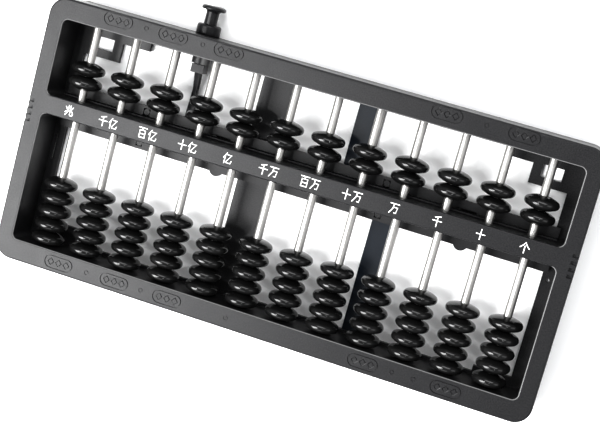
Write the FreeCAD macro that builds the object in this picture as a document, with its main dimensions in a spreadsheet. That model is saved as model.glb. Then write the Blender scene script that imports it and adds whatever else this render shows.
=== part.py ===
"""Abacus with twelve rods, two beads above the beam and five below it, and a button that clears it.

Everything is in millimetres. +X runs along the rods' row, +Y points away from the user (towards the
upper deck), +Z is up, and the back of the frame lies on Z = 0. Each piece is drawn about the middle of
the frame; "shift_y" then puts the origin under the middle of the whole object, button included.
"""
import FreeCAD
import Part
import math
import os
import Sketcher
from FreeCAD import Placement, Rotation, Vector

SIZES = [
    # frame
    ("frame_height", 24.0), ("top_rail", 9.9), ("bottom_rail", 10.4), ("stile", 8.0), ("beam", 9.4),
    ("outer_wall", 2.2), ("inner_wall", 1.6), ("face_thick", 2.4), ("back_thick", 2.4),
    ("outer_corner", 8.5), ("window_corner", 2.8), ("outer_round", 1.0), ("window_round", 0.7),
    ("back_fit", 0.1), ("end_space", 14.8),
    # how far a feature runs into the solid that it joins, or past the one that it cuts
    ("sink", 1.0),
    # rods and beads
    ("rod_count", 12), ("rod_pitch", 20.4), ("rod_dia", 4.0), ("rod_fit", 0.05), ("rod_end_gap", 0.3),
    ("bead_dia", 16.4), ("bead_thick", 6.75), ("bead_hub_dia", 5.6), ("bead_rim", 2.2),
    ("bead_play", 0.2), ("bead_gap", 0.1), ("lower_beads", 5),
    ("upper_run", 17.4), ("upper_rest", 5.7), ("lower_run", 27.9), ("bead_stop", 0.15),
    # clearing bars, the strips that stand on them, and their guide posts
    ("bar_reach", 6.0), ("bar_thick", 1.8), ("bar_lift", 2.0), ("bar_end_gap", 3.5), ("bar_play", 0.5),
    ("fin_gap", 0.15), ("fin_thick", 0.9), ("fin_rise", 4.3), ("bead_under", 0.6), ("stroke", 4.5),
    ("post_dia", 3.0), ("post_play", 0.15), ("lobe_dia", 7.0), ("lobe_out", 2.0), ("peg_dia", 2.0),
    # pinions and racks; a tooth's heights and half widths are in modules
    ("gear_module", 0.8), ("pinion_teeth", 8), ("rack_teeth", 4), ("gear_play", 0.05), ("mesh_gap", 0.4),
    ("tooth_tip", 0.75), ("tooth_foot", 0.85), ("tooth_crest", 0.3), ("rack_foot", 1.1),
    ("pinion_foot", 1.15), ("seat_in", 1.5), ("rack_low", 0.2), ("pinion_lift", 0.05),
    ("pin_dia", 2.0), ("pin_foot", 1.2), ("pin_head_dia", 3.2), ("pin_head_thick", 0.8),
    # button, its boss and its spring
    ("button_height", 7.2), ("button_reach", 14.4), ("head_dia", 11.7), ("head_thick", 2.4),
    ("head_edge", 0.6), ("head_dome", 0.3), ("neck", 0.7), ("collar_dia", 11.5), ("collar_long", 5.2),
    ("collar_round", 1.2), ("spigot_dia", 8.4), ("boss_reach", 4.0), ("boss_wall", 0.75),
    ("boss_clear", 0.24), ("boss_floor_thick", 1.2), ("flange_thick", 1.0), ("flange_gap", 0.05),
    ("flange_clear", 0.15), ("flange_step", 0.5), ("stem_fit", 0.1), ("guide_long", 2.5),
    ("spring_wire", 0.7), ("spring_clear", 0.25), ("spring_seat", 0.1), ("spring_turns", 4),
    # push arm
    ("arm_thick", 1.3), ("arm_width", 4.6), ("arm_clear", 0.3), ("arm_free", 0.4), ("rib_thick", 2.0),
    ("rib_clear", 2.0), ("block_wall", 0.6), ("block_long", 4.0),
    # ledges, corner plates and tabs of the back
    ("side_ledge", 5.5), ("rail_ledge", 1.6), ("bar_strip_short", 0.5), ("corner_plate", 24.0),
    ("corner_deep", 15.0), ("side_bar", 14.0), ("side_bar_deep", 4.0), ("left_tab", 9.0),
    ("right_tab", 4.5), ("plate_slot_out", 9.5), ("plate_slot_long", 10.0), ("plate_slot_rail", 5.0),
    ("plate_slot_wide", 6.0), ("ledge_slot_out", 1.0), ("ledge_slot_wide", 1.0),
    ("ledge_slot_from", 11.0), ("ledge_slot_long", 13.0), ("ledge_hole_dia", 1.8),
    ("ledge_hole_out", 2.5), ("ledge_hole_from", 10.0),
    # straps
    ("strap_thick", 1.2), ("wide_strap", 15.3), ("narrow_strap", 12.9), ("strap_bite", 5.0),
    ("strap_fit", 0.1),
    # screws
    ("screw_dia", 2.2), ("screw_head", 4.4), ("screw_head_thick", 1.5), ("screw_sunk", 0.1),
    ("screw_long", 12.0), ("screw_boss", 4.8), ("screw_free", 0.2), ("screw_head_fit", 0.15),
    ("screw_fit", 0.02), ("screw_end_gap", 0.2), ("driver_long", 3.0), ("driver_wide", 0.5),
    ("driver_deep", 0.6),
    # notches in the face at the beam's ends
    ("notch_wide", 1.6), ("notch_deep", 3.0), ("notch_sunk", 1.2), ("notch_step", 3.2), ("notch_count", 4),
    ("left_notch_down", 5.0), ("right_notch_down", 2.0),
]

LAYOUT = [
    # half sizes of the frame, and the lines that bound its two windows
    ("bead_step", "Sizes.bead_thick + Sizes.bead_gap"),
    ("fin_out", "Sizes.fin_gap + Sizes.fin_thick"),
    ("upper_space", "Sizes.upper_rest + 2 * bead_step + Sizes.upper_run"),
    ("lower_space", "Sizes.lower_beads * bead_step + Sizes.lower_run + fin_out + Sizes.bead_stop"),
    ("half_wide", "(Sizes.top_rail + upper_space + Sizes.beam + lower_space + Sizes.bottom_rail) / 2"),
    ("row_long", "(Sizes.rod_count - 1) * Sizes.rod_pitch"),
    ("side_in", "row_long / 2 + Sizes.end_space"),
    ("half_long", "side_in + Sizes.stile"),
    ("upper_top", "half_wide - Sizes.top_rail"),
    ("beam_top", "upper_top - upper_space"),
    ("beam_low", "beam_top - Sizes.beam"),
    ("beam_mid", "beam_top - Sizes.beam / 2"),
    ("lower_low", "Sizes.bottom_rail - half_wide"),
    ("shift_y", "-Sizes.button_reach / 2"),
    ("wall_in", "half_wide - Sizes.outer_wall"),
    ("screw_top", "half_wide - (Sizes.outer_wall + Sizes.top_rail - Sizes.inner_wall) / 2"),
    ("screw_low", "(Sizes.outer_wall + Sizes.bottom_rail - Sizes.inner_wall) / 2 - half_wide"),
    # heights
    ("bar_low", "Sizes.back_thick + Sizes.bar_lift"),
    ("bar_top", "bar_low + Sizes.bar_thick"),
    ("fin_top", "bar_top + Sizes.fin_rise"),
    ("rod_height", "bar_top + Sizes.bead_under + Sizes.bead_dia / 2"),
    # clearing bars, measured from the beam's middle line
    ("half_beam", "Sizes.beam / 2"),
    ("bar_in", "half_beam - Sizes.inner_wall"),
    ("bar_out", "half_beam + Sizes.bar_reach"),
    ("bar_half", "side_in - Sizes.bar_end_gap"),
    ("fin_in", "half_beam + Sizes.fin_gap"),
    ("post_at", "half_beam + Sizes.bar_reach / 2"),
    ("peg_at", "half_beam + Sizes.peg_dia / 2"),
    ("pitch_rad", "Sizes.gear_module * Sizes.pinion_teeth / 2"),
    ("tooth_pitch", "Sizes.gear_module * pi"),
    ("rack_root", "pitch_rad + Sizes.rack_foot * Sizes.gear_module"),
    ("rack_arm", "rack_root + 2 * Sizes.gear_module"),
    ("rack_end", "(Sizes.rack_teeth - 1.5) * tooth_pitch"),
    # button line: the boss stays clear of the nearest beads and of the back
    ("button_x", "-3 * Sizes.rod_pitch"),
    ("bead_away", "sqrt(pow(Sizes.rod_pitch / 2; 2) + pow(rod_height - Sizes.button_height; 2))"),
    ("boss_free", "bead_away - Sizes.bead_dia / 2 - Sizes.boss_clear"),
    ("boss_rad", "min(boss_free; Sizes.button_height - Sizes.back_thick - 2 * Sizes.back_fit)"),
    ("boss_bore", "boss_rad - Sizes.boss_wall"),
    ("flange_rad", "boss_bore - Sizes.flange_clear"),
    ("stem_rad", "flange_rad - Sizes.flange_step"),
    ("spring_rad", "boss_bore - Sizes.spring_clear - Sizes.spring_wire / 2"),
    ("guide_rad", "spring_rad - Sizes.spring_wire / 2 - Sizes.spring_clear"),
    ("boss_end", "upper_top - Sizes.boss_reach"),
    ("boss_floor", "boss_end + Sizes.boss_floor_thick"),
    ("flange_low", "-Sizes.flange_gap - Sizes.flange_thick"),
    # push arm
    ("arm_low", "bar_low - Sizes.arm_clear - Sizes.arm_thick"),
    ("arm_top", "arm_low + Sizes.arm_thick"),
    ("block_half", "guide_rad + Sizes.block_wall"),
    ("block_top", "boss_end - Sizes.arm_free"),
    ("rib_top", "block_top - Sizes.block_long + Sizes.sink"),
    ("rib_foot", "beam_top + Sizes.bar_reach + 2 * Sizes.stroke + Sizes.rib_clear"),
]

PINION_PITCHES = (-2, 4)        # rod pitches from the middle of the row
POST_PITCHES = (-4, 2)
SCREW_PITCHES = (-5, 0, 5)
FOOT = "Sizes.tooth_foot * Sizes.gear_module"
CREST = "Sizes.tooth_crest * Sizes.gear_module"
ALONG_Y = Rotation(Vector(1, 0, 0), -90)
HALF_TURN = Rotation(Vector(0, 0, 1), 180)

doc = FreeCAD.newDocument("abacus")


def fill_sheet(name, rows, prefix=""):
    sheet = doc.addObject("Spreadsheet::Sheet", name)
    for line, (alias, content) in enumerate(rows, 1):
        sheet.set(f"A{line}", alias)
        sheet.set(f"B{line}", f"{prefix}{content}")
        sheet.setAlias(f"B{line}", alias)
    doc.recompute()
    return sheet


fill_sheet("Sizes", SIZES)
layout = fill_sheet("Layout", LAYOUT, "=")
nodes = []


def value(expression):
    result = layout.evalExpression(expression)
    return float(getattr(result, "Value", result))


def bind(thing, **expressions):
    for name, expression in expressions.items():
        thing.setExpression(name.replace("__", "."), expression)


def new_body(label, x="0", y="0", z="0", turned=False):
    """One sub-part: its local origin stands at x, y, z of the frame."""
    body = doc.addObject("PartDesign::Body", label)
    body.Label = label
    body.AllowCompound = True
    if turned:
        body.Placement = Placement(Vector(), HALF_TURN)
    bind(body, Placement__Base__x=x, Placement__Base__y=f"Layout.shift_y + {y}", Placement__Base__z=z)
    nodes.append(body)
    return body


def datum(body, role):
    return next(item for item in body.Origin.OriginFeatures if item.Role == role)


def new_sketch(body, role, lift="0"):
    sketch = body.newObject("Sketcher::SketchObject", f"{body.Label}_sketch")
    sketch.AttachmentSupport = [(datum(body, role), "")]
    sketch.MapMode = "FlatFace"
    sketch.setExpression("AttachmentOffset.Base.z", lift)
    return sketch


def hold(sketch, kind, geometry, point, expression):
    """Fix one coordinate of a sketch point to an expression."""
    number = value(expression)
    if abs(number) < 1e-9:
        axis = -2 if kind == "DistanceX" else -1
        sketch.addConstraint(Sketcher.Constraint("PointOnObject", geometry, point, axis))
        return
    index = sketch.addConstraint(Sketcher.Constraint(kind, -1, 1, geometry, point, number))
    sketch.setExpression(f"Constraints[{index}]", expression)


def draw_polygon(sketch, corners):
    points = [Vector(value(x), value(y), 0) for x, y in corners]
    first = sketch.GeometryCount
    for here, there in zip(points, points[1:] + points[:1]):
        sketch.addGeometry(Part.LineSegment(here, there))
    for step, (x, y) in enumerate(corners):
        before = first + (step - 1) % len(corners)
        sketch.addConstraint(Sketcher.Constraint("Coincident", before, 2, first + step, 1))
        hold(sketch, "DistanceX", first + step, 1, x)
        hold(sketch, "DistanceY", first + step, 1, y)


def draw_rounded(sketch, left, low, right, top, radius):
    """A rectangle with rounded corners: lines 0-3 run anticlockwise from the low side."""
    x0, y0, x1, y1, r = (value(item) for item in (left, low, right, top, radius))
    first = sketch.GeometryCount
    ends = [((x0 + r, y0), (x1 - r, y0)), ((x1, y0 + r), (x1, y1 - r)),
            ((x1 - r, y1), (x0 + r, y1)), ((x0, y1 - r), (x0, y0 + r))]
    for start, stop in ends:
        sketch.addGeometry(Part.LineSegment(Vector(*start, 0), Vector(*stop, 0)))
    centres = [(x1 - r, y0 + r, 270), (x1 - r, y1 - r, 0), (x0 + r, y1 - r, 90), (x0 + r, y0 + r, 180)]
    for x, y, start in centres:
        circle = Part.Circle(Vector(x, y, 0), Vector(0, 0, 1), r)
        begin = math.radians(start)
        sketch.addGeometry(Part.ArcOfCircle(circle, begin, begin + math.pi / 2))
    for side in range(4):
        arc = first + 4 + side
        sketch.addConstraint(Sketcher.Constraint("Tangent", first + side, 2, arc, 1))
        sketch.addConstraint(Sketcher.Constraint("Tangent", arc, 2, first + (side + 1) % 4, 1))
        direction = "Horizontal" if side % 2 == 0 else "Vertical"
        sketch.addConstraint(Sketcher.Constraint(direction, first + side))
        if side:
            sketch.addConstraint(Sketcher.Constraint("Equal", first + 4, arc))
    index = sketch.addConstraint(Sketcher.Constraint("Radius", first + 4, r))
    sketch.setExpression(f"Constraints[{index}]", radius)
    hold(sketch, "DistanceY", first, 1, low)
    hold(sketch, "DistanceX", first + 1, 1, right)
    hold(sketch, "DistanceY", first + 2, 1, top)
    hold(sketch, "DistanceX", first + 3, 1, left)


def extrude(body, sketch, length, cut=False, reverse=False, midplane=False):
    """Pad or pocket; a pocket that is reversed cuts upwards from its sketch."""
    feature = body.newObject("PartDesign::Pocket" if cut else "PartDesign::Pad", f"{body.Label}_step")
    feature.Profile = sketch
    feature.Reversed = reverse
    feature.Midplane = midplane
    feature.setExpression("Length", length)
    return feature


def box(body, x, y, z, cut=False):
    """A block between two limits on each axis, added to the body or cut from it."""
    kind = "PartDesign::SubtractiveBox" if cut else "PartDesign::AdditiveBox"
    block = body.newObject(kind, f"{body.Label}_block")
    for side, axis, (low, high) in (("Length", "x", x), ("Width", "y", y), ("Height", "z", z)):
        block.setExpression(side, f"({high}) - ({low})")
        block.setExpression(f"Placement.Base.{axis}", low)
    return block


def cylinder(body, radius, height, x="0", y="0", z="0", along_y=False, cut=False):
    kind = "PartDesign::SubtractiveCylinder" if cut else "PartDesign::AdditiveCylinder"
    drum = body.newObject(kind, f"{body.Label}_round")
    if along_y:
        drum.Placement = Placement(Vector(), ALONG_Y)
    bind(drum, Radius=radius, Height=height)
    bind(drum, Placement__Base__x=x, Placement__Base__y=y, Placement__Base__z=z)
    return drum


def repeat(body, feature, direction, length, count):
    pattern = body.newObject("PartDesign::LinearPattern", f"{body.Label}_row")
    pattern.Originals = [feature]
    pattern.Direction = direction
    bind(pattern, Length=length, Occurrences=count)
    body.Tip = pattern
    return pattern


def round_edges(body, wanted, radius):
    doc.recompute()
    base = body.Tip
    names = [f"Edge{i}" for i, edge in enumerate(base.Shape.Edges, 1) if wanted(edge)]
    rounding = body.newObject("PartDesign::Fillet", f"{body.Label}_rounding")
    rounding.Base = (base, names)
    rounding.setExpression("Radius", radius)
    return rounding


def rounded_outline(body, inset, lift="0"):
    sketch = new_sketch(body, "XY_Plane", lift)
    x, y = f"Layout.half_long - {inset}", f"Layout.half_wide - {inset}"
    draw_rounded(sketch, f"-({x})", f"-({y})", x, y, f"Sizes.outer_corner - {inset}")
    return sketch


def draw_windows(sketch, grow):
    """Both windows' outlines, grown outwards by a wall."""
    x = f"Layout.side_in + {grow}"
    corner = f"Sizes.window_corner + {grow}"
    for low, top in (("Layout.beam_top", "Layout.upper_top"), ("Layout.lower_low", "Layout.beam_low")):
        draw_rounded(sketch, f"-({x})", f"{low} - {grow}", x, f"{top} + {grow}", corner)


def screw_places():
    """Half way between rods, in the middle of the rails' hollow."""
    return [(f"{pitches} * Sizes.rod_pitch", y) for pitches in SCREW_PITCHES
            for y in ("Layout.screw_top", "Layout.screw_low")]


def make_front_frame():
    """The deep front shell: four sides and the beam, hollow from behind."""
    body = new_body("front_frame")
    extrude(body, rounded_outline(body, "0"), "Sizes.frame_height")
    windows = new_sketch(body, "XY_Plane")
    draw_windows(windows, "0")
    extrude(body, windows, "Sizes.frame_height", cut=True, reverse=True)
    top = value("Sizes.frame_height")
    half_long = value("Layout.half_long")
    half_wide = value("Layout.half_wide")
    corner = value("Sizes.outer_corner")

    def on_top(edge):
        return abs(edge.BoundBox.ZMin - top) < 1e-6 and abs(edge.BoundBox.ZMax - top) < 1e-6

    def outside(edge):
        middle = edge.CenterOfMass
        return abs(middle.x) > half_long - corner / 2 or abs(middle.y) > half_wide - corner / 2

    round_edges(body, lambda edge: on_top(edge) and outside(edge), "Sizes.outer_round")
    inner = half_long - 2 * value("Sizes.outer_round")
    round_edges(body, lambda edge: on_top(edge) and not outside(edge) and edge.BoundBox.XMax < inner,
                "Sizes.window_round")
    extrude(body, rounded_outline(body, "Sizes.outer_wall"), "Sizes.back_thick", cut=True, reverse=True)
    hollow = rounded_outline(body, "Sizes.outer_wall", "Sizes.back_thick")
    draw_windows(hollow, "Sizes.inner_wall")
    depth = "Sizes.frame_height - Sizes.face_thick - Sizes.back_thick"
    extrude(body, hollow, depth, cut=True, reverse=True)
    for x, y in screw_places():
        tall = "Sizes.frame_height - Sizes.face_thick / 2 - Sizes.back_thick"
        cylinder(body, "Sizes.screw_boss / 2", tall, x, y, "Sizes.back_thick")
        cylinder(body, "Sizes.screw_dia / 2", "Sizes.screw_long", x, y, "Sizes.back_thick", cut=True)
    # the clearing bars slide under the beam's walls
    room, past = "Layout.bar_half + Sizes.bar_play", "Sizes.fin_gap / 2"
    box(body, (f"-({room})", room), (f"Layout.beam_low - {past}", f"Layout.beam_top + {past}"),
        ("0", "Layout.bar_top + Sizes.arm_clear"), cut=True)
    # rod bores, from one outer wall to the other
    bore = cylinder(body, "Sizes.rod_dia / 2 + Sizes.rod_fit", "2 * Layout.wall_in", "-Layout.row_long / 2",
                    "-Layout.wall_in", "Layout.rod_height", along_y=True, cut=True)
    repeat(body, bore, (datum(body, "X_Axis"), [""]), "Layout.row_long", "Sizes.rod_count")
    # spring boss and the button's holes
    x, z = "Layout.button_x", "Sizes.button_height"
    cylinder(body, "Layout.boss_rad", "Sizes.boss_reach + Sizes.inner_wall", x, "Layout.boss_end", z,
             along_y=True)
    cylinder(body, "Layout.boss_bore", "Layout.wall_in - Layout.boss_floor", x, "Layout.boss_floor",
             z, along_y=True, cut=True)
    cylinder(body, "Layout.guide_rad + Sizes.stem_fit", "Sizes.boss_floor_thick + 2 * Sizes.sink", x,
             "Layout.boss_end - Sizes.sink", z, along_y=True, cut=True)
    cylinder(body, "Sizes.spigot_dia / 2", "Sizes.outer_wall + Sizes.sink", x,
             "Layout.wall_in - Sizes.sink / 2", z, along_y=True, cut=True)
    # shallow notches in the face at both ends of the beam
    span = "(Sizes.notch_count - 1) * Sizes.notch_step"
    left = ("-Layout.half_long", "Sizes.notch_deep - Layout.half_long")
    right = ("Layout.half_long - Sizes.notch_deep", "Layout.half_long")
    for x_range, down in ((left, "Sizes.left_notch_down"), (right, "Sizes.right_notch_down")):
        low = f"Layout.beam_mid - {down} - {span} / 2 - Sizes.notch_wide / 2"
        notch = box(body, x_range, (low, f"{low} + Sizes.notch_wide"),
                    ("Sizes.frame_height - Sizes.notch_sunk", "Sizes.frame_height"), cut=True)
        repeat(body, notch, (datum(body, "Y_Axis"), [""]), span, "Sizes.notch_count")


def make_back_frame():
    """The tray that closes the shell: ledges, corner plates, pinion seats and guide posts."""
    body = new_body("back_frame")
    inset = "(Sizes.outer_wall + Sizes.back_fit)"
    extrude(body, rounded_outline(body, inset), "Sizes.back_thick")
    in_x = "Layout.side_in - Sizes.side_ledge"
    strip = "Sizes.bar_reach - Sizes.bar_strip_short"
    decks = new_sketch(body, "XY_Plane")
    rows = (("Layout.lower_low + Sizes.rail_ledge", f"Layout.beam_low - ({strip})"),
            (f"Layout.beam_top + {strip}", "Layout.upper_top - Sizes.rail_ledge"))
    for low, top in rows:
        draw_polygon(decks, [(f"-({in_x})", low), (in_x, low), (in_x, top), (f"-({in_x})", top)])
    extrude(body, decks, "Sizes.back_thick", cut=True, reverse=True)
    full, through = ("0", "Sizes.back_thick"), ("-Sizes.sink", "Sizes.back_thick + Sizes.sink")
    near = "Layout.side_in - Sizes.corner_plate"
    far, high, low = "Layout.side_in + Sizes.sink", "Layout.upper_top + Sizes.sink", "Layout.lower_low"
    for sign, tab in ((-1, "Sizes.left_tab"), (1, "Sizes.right_tab")):
        def spread(low_x, high_x):
            return (f"-({high_x})", f"-({low_x})") if sign < 0 else (low_x, high_x)
        # corner plate, the bar beside it, the slot in the plate, and the tab at the bottom corner
        box(body, spread(near, far), ("Layout.upper_top - Sizes.corner_deep", high), full)
        box(body, spread(f"{near} - Sizes.side_bar", f"{near} + Sizes.sink"),
            ("Layout.upper_top - Sizes.rail_ledge - Sizes.side_bar_deep", high), full)
        slot_x, slot_y = "Layout.side_in - Sizes.plate_slot_out", "Layout.upper_top - Sizes.plate_slot_rail"
        box(body, spread(f"{slot_x} - Sizes.plate_slot_long", slot_x),
            (f"{slot_y} - Sizes.plate_slot_wide", slot_y), through, cut=True)
        box(body, spread(near, far), (f"{low} - Sizes.sink", f"{low} + {tab}"), full)
    # a slot in one side ledge and a small hole in the other
    slot_x, slot_y = "Sizes.ledge_slot_out - Layout.side_in", "Layout.beam_low - Sizes.ledge_slot_from"
    box(body, (slot_x, f"{slot_x} + Sizes.ledge_slot_wide"), (f"{slot_y} - Sizes.ledge_slot_long", slot_y),
        through, cut=True)
    cylinder(body, "Sizes.ledge_hole_dia / 2", "Sizes.back_thick + 2 * Sizes.sink",
             "Layout.side_in - Sizes.ledge_hole_out", "Layout.beam_low - Sizes.ledge_hole_from",
             "-Sizes.sink", cut=True)
    for pitches in PINION_PITCHES:
        x = f"{pitches} * Sizes.rod_pitch"
        seat = "Layout.pitch_rad - Sizes.seat_in * Sizes.gear_module"
        cylinder(body, seat, "Layout.bar_low - Sizes.sink", x, "Layout.beam_mid", "Sizes.sink")
        cylinder(body, "Sizes.pin_dia / 2", "Layout.bar_low", x, "Layout.beam_mid", "Sizes.pin_foot",
                 cut=True)
    for sign in (-1, 1):
        for pitches in POST_PITCHES:
            x, y = f"{pitches} * Sizes.rod_pitch", f"Layout.beam_mid + {sign} * Layout.post_at"
            cylinder(body, "Sizes.post_dia / 2", "Layout.bar_top - Sizes.rack_low - Sizes.sink", x, y,
                     "Sizes.sink")
    for x, y in screw_places():
        cylinder(body, "Sizes.screw_dia / 2 + Sizes.screw_free", "Sizes.back_thick + 2 * Sizes.sink", x, y,
                 "-Sizes.sink", cut=True)
        cylinder(body, "Sizes.screw_head / 2 + Sizes.screw_head_fit",
                 "Sizes.screw_sunk + Sizes.screw_head_thick", x, y, "0", cut=True)
    for left, width, low, top in STRAPS.values():
        box(body, (f"{left} - Sizes.strap_fit", f"{left} + {width} + Sizes.strap_fit"),
            (f"{low} - Sizes.strap_fit", f"{top} + Sizes.strap_fit"), ("0", "Sizes.strap_thick"), cut=True)


# left edge, width, low end and top end of each strap across the back
STRAPS = {
    "wide_strap": ("-1.5 * Sizes.rod_pitch", "Sizes.wide_strap", "Layout.lower_low - Sizes.strap_bite",
                   "Layout.upper_top + Sizes.strap_bite"),
    "upper_strap": ("1.5 * Sizes.rod_pitch - Sizes.narrow_strap", "Sizes.narrow_strap",
                    "Layout.beam_top - Sizes.sink", "Layout.upper_top + Sizes.strap_bite"),
    "lower_strap": ("2.5 * Sizes.rod_pitch - Sizes.narrow_strap", "Sizes.narrow_strap",
                    "Layout.lower_low - Sizes.strap_bite", "Layout.beam_low + Sizes.sink"),
}


def make_straps():
    for label, (left, width, low, top) in STRAPS.items():
        body = new_body(label)
        box(body, (left, f"{left} + {width}"), (low, top), ("0", "Sizes.strap_thick"))


def make_screws():
    body = new_body("case_screws")
    half, wide = "Sizes.driver_long / 2", "Sizes.driver_wide / 2"
    for x, y in screw_places():
        cylinder(body, "Sizes.screw_head / 2", "Sizes.screw_head_thick", x, y, "Sizes.screw_sunk")
        shank = "Sizes.back_thick + Sizes.screw_long - Sizes.sink - Sizes.screw_end_gap"
        cylinder(body, "Sizes.screw_dia / 2 - Sizes.screw_fit", shank, x, y, "Sizes.sink")
        box(body, (f"{x} - {half}", f"{x} + {half}"), (f"{y} - {wide}", f"{y} + {wide}"),
            ("0", "Sizes.screw_sunk + Sizes.driver_deep"), cut=True)


def make_rods():
    body = new_body("rods")
    rod = cylinder(body, "Sizes.rod_dia / 2", "2 * (Layout.wall_in - Sizes.rod_end_gap)",
                   "-Layout.row_long / 2", "Sizes.rod_end_gap - Layout.wall_in", "Layout.rod_height",
                   along_y=True)
    repeat(body, rod, (datum(body, "X_Axis"), [""]), "Layout.row_long", "Sizes.rod_count")


def bead_arcs():
    """The lens's two faces are arcs centred on the rod's line, deep enough to meet the rim's arc smoothly."""
    hub, tall = value("Sizes.bead_hub_dia / 2"), value("Sizes.bead_thick / 2")
    rim = value("Sizes.bead_rim")
    reach = value("Sizes.bead_dia / 2") - rim
    # sqrt(reach^2 + deep^2) = face - rim, with face = sqrt(hub^2 + (tall + deep)^2), solved for deep
    known = hub ** 2 + tall ** 2 + rim ** 2 - reach ** 2
    # 2 * rim * face = known + 2 * tall * deep, squared: a quadratic in deep
    square = 4 * (rim ** 2 - tall ** 2)
    linear = 8 * rim ** 2 * tall - 4 * known * tall
    constant = 4 * rim ** 2 * (hub ** 2 + tall ** 2) - known ** 2
    root = math.sqrt(linear ** 2 - 4 * square * constant)
    deep = max((-linear + root) / (2 * square), (-linear - root) / (2 * square))
    face = math.hypot(hub, tall + deep)
    return reach, deep, face


def arc_through(start, centre, radius, stop):
    middle = (start + stop) / 2 - centre
    return Part.Arc(start, centre + middle.normalize() * radius, stop)


def make_bead(label, column, middle_y, count):
    """Lens-shaped beads on one rod; more than one stand a step apart and move together."""
    x = f"-Layout.row_long / 2 + {column} * Sizes.rod_pitch"
    body = new_body(label, x, middle_y, "Layout.rod_height")
    sketch = new_sketch(body, "XY_Plane")
    bore, hub = "Sizes.rod_dia / 2 + Sizes.bead_play", "Sizes.bead_hub_dia / 2"
    tall, rim = value("Sizes.bead_thick / 2"), value("Sizes.bead_rim")
    reach, deep, face = bead_arcs()
    stretch = face / (face - rim)
    meet = Vector(reach * stretch, deep * (stretch - 1), 0)
    mirror = Vector(meet.x, -meet.y, 0)
    corners = [Vector(value(bore), -tall, 0), Vector(value(hub), -tall, 0), mirror, meet,
               Vector(value(hub), tall, 0), Vector(value(bore), tall, 0)]
    low_face, rim_arc, top_face = 1, 2, 3
    sketch.addGeometry(Part.LineSegment(corners[0], corners[1]))
    sketch.addGeometry(arc_through(corners[1], Vector(0, deep, 0), face, corners[2]))
    sketch.addGeometry(arc_through(corners[2], Vector(reach, 0, 0), rim, corners[3]))
    sketch.addGeometry(arc_through(corners[3], Vector(0, -deep, 0), face, corners[4]))
    sketch.addGeometry(Part.LineSegment(corners[4], corners[5]))
    sketch.addGeometry(Part.LineSegment(corners[5], corners[0]))
    for corner, kind in enumerate(("", "Coincident", "Tangent", "Tangent", "Coincident", "Coincident")):
        if kind:
            before, after = corner - 1, corner
            sketch.addConstraint(Sketcher.Constraint(kind, before, near_end(sketch, before, corners[corner]),
                                                     after, near_end(sketch, after, corners[corner])))
    sketch.addConstraint(Sketcher.Constraint("Coincident", 5, 2, 0, 1))
    hold(sketch, "DistanceX", 0, 1, bore)
    hold(sketch, "DistanceY", 0, 1, "-Sizes.bead_thick / 2")
    hold(sketch, "DistanceX", 0, 2, hub)
    hold(sketch, "DistanceY", 4, 2, "Sizes.bead_thick / 2")
    hold(sketch, "DistanceX", 4, 1, hub)
    for line, kind in ((0, "Horizontal"), (4, "Horizontal"), (5, "Vertical")):
        sketch.addConstraint(Sketcher.Constraint(kind, line))
    # the rim's centre lies on the sketch's X axis, the faces' centres on the rod's line
    for arc, axis in ((rim_arc, -1), (low_face, -2), (top_face, -2)):
        sketch.addConstraint(Sketcher.Constraint("PointOnObject", arc, 3, axis))
    index = sketch.addConstraint(Sketcher.Constraint("Radius", rim_arc, rim))
    sketch.setExpression(f"Constraints[{index}]", "Sizes.bead_rim")
    hold(sketch, "DistanceX", rim_arc, 3, "Sizes.bead_dia / 2 - Sizes.bead_rim")
    turn = full_turn(body, sketch)
    if count > 1:
        repeat(body, turn, (sketch, ["V_Axis"]), "(Sizes.lower_beads - 1) * Layout.bead_step",
               "Sizes.lower_beads")


def full_turn(body, sketch):
    turn = body.newObject("PartDesign::Revolution", f"{body.Label}_turn")
    turn.Profile = sketch
    turn.ReferenceAxis = (sketch, ["V_Axis"])
    turn.Angle = 360
    return turn


def near_end(sketch, geometry, point):
    """Which end of a line or an arc, 1 or 2, lies at a point."""
    start, stop = sketch.getPoint(geometry, 1), sketch.getPoint(geometry, 2)
    return 1 if (start - point).Length < (stop - point).Length else 2


def make_beads():
    near = "Layout.beam_top + Sizes.upper_rest + Sizes.bead_thick / 2"
    low = "Layout.lower_low + Sizes.bead_gap + Sizes.bead_thick / 2"
    for column in range(int(value("Sizes.rod_count"))):
        number = f"{column + 1:02d}"
        make_bead(f"upper_bead_{number}_beam_side", column, near, 1)
        make_bead(f"upper_bead_{number}_rail_side", column, f"{near} + Layout.bead_step", 1)
        make_bead(f"lower_beads_{number}", column, low, int(value("Sizes.lower_beads")))


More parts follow.
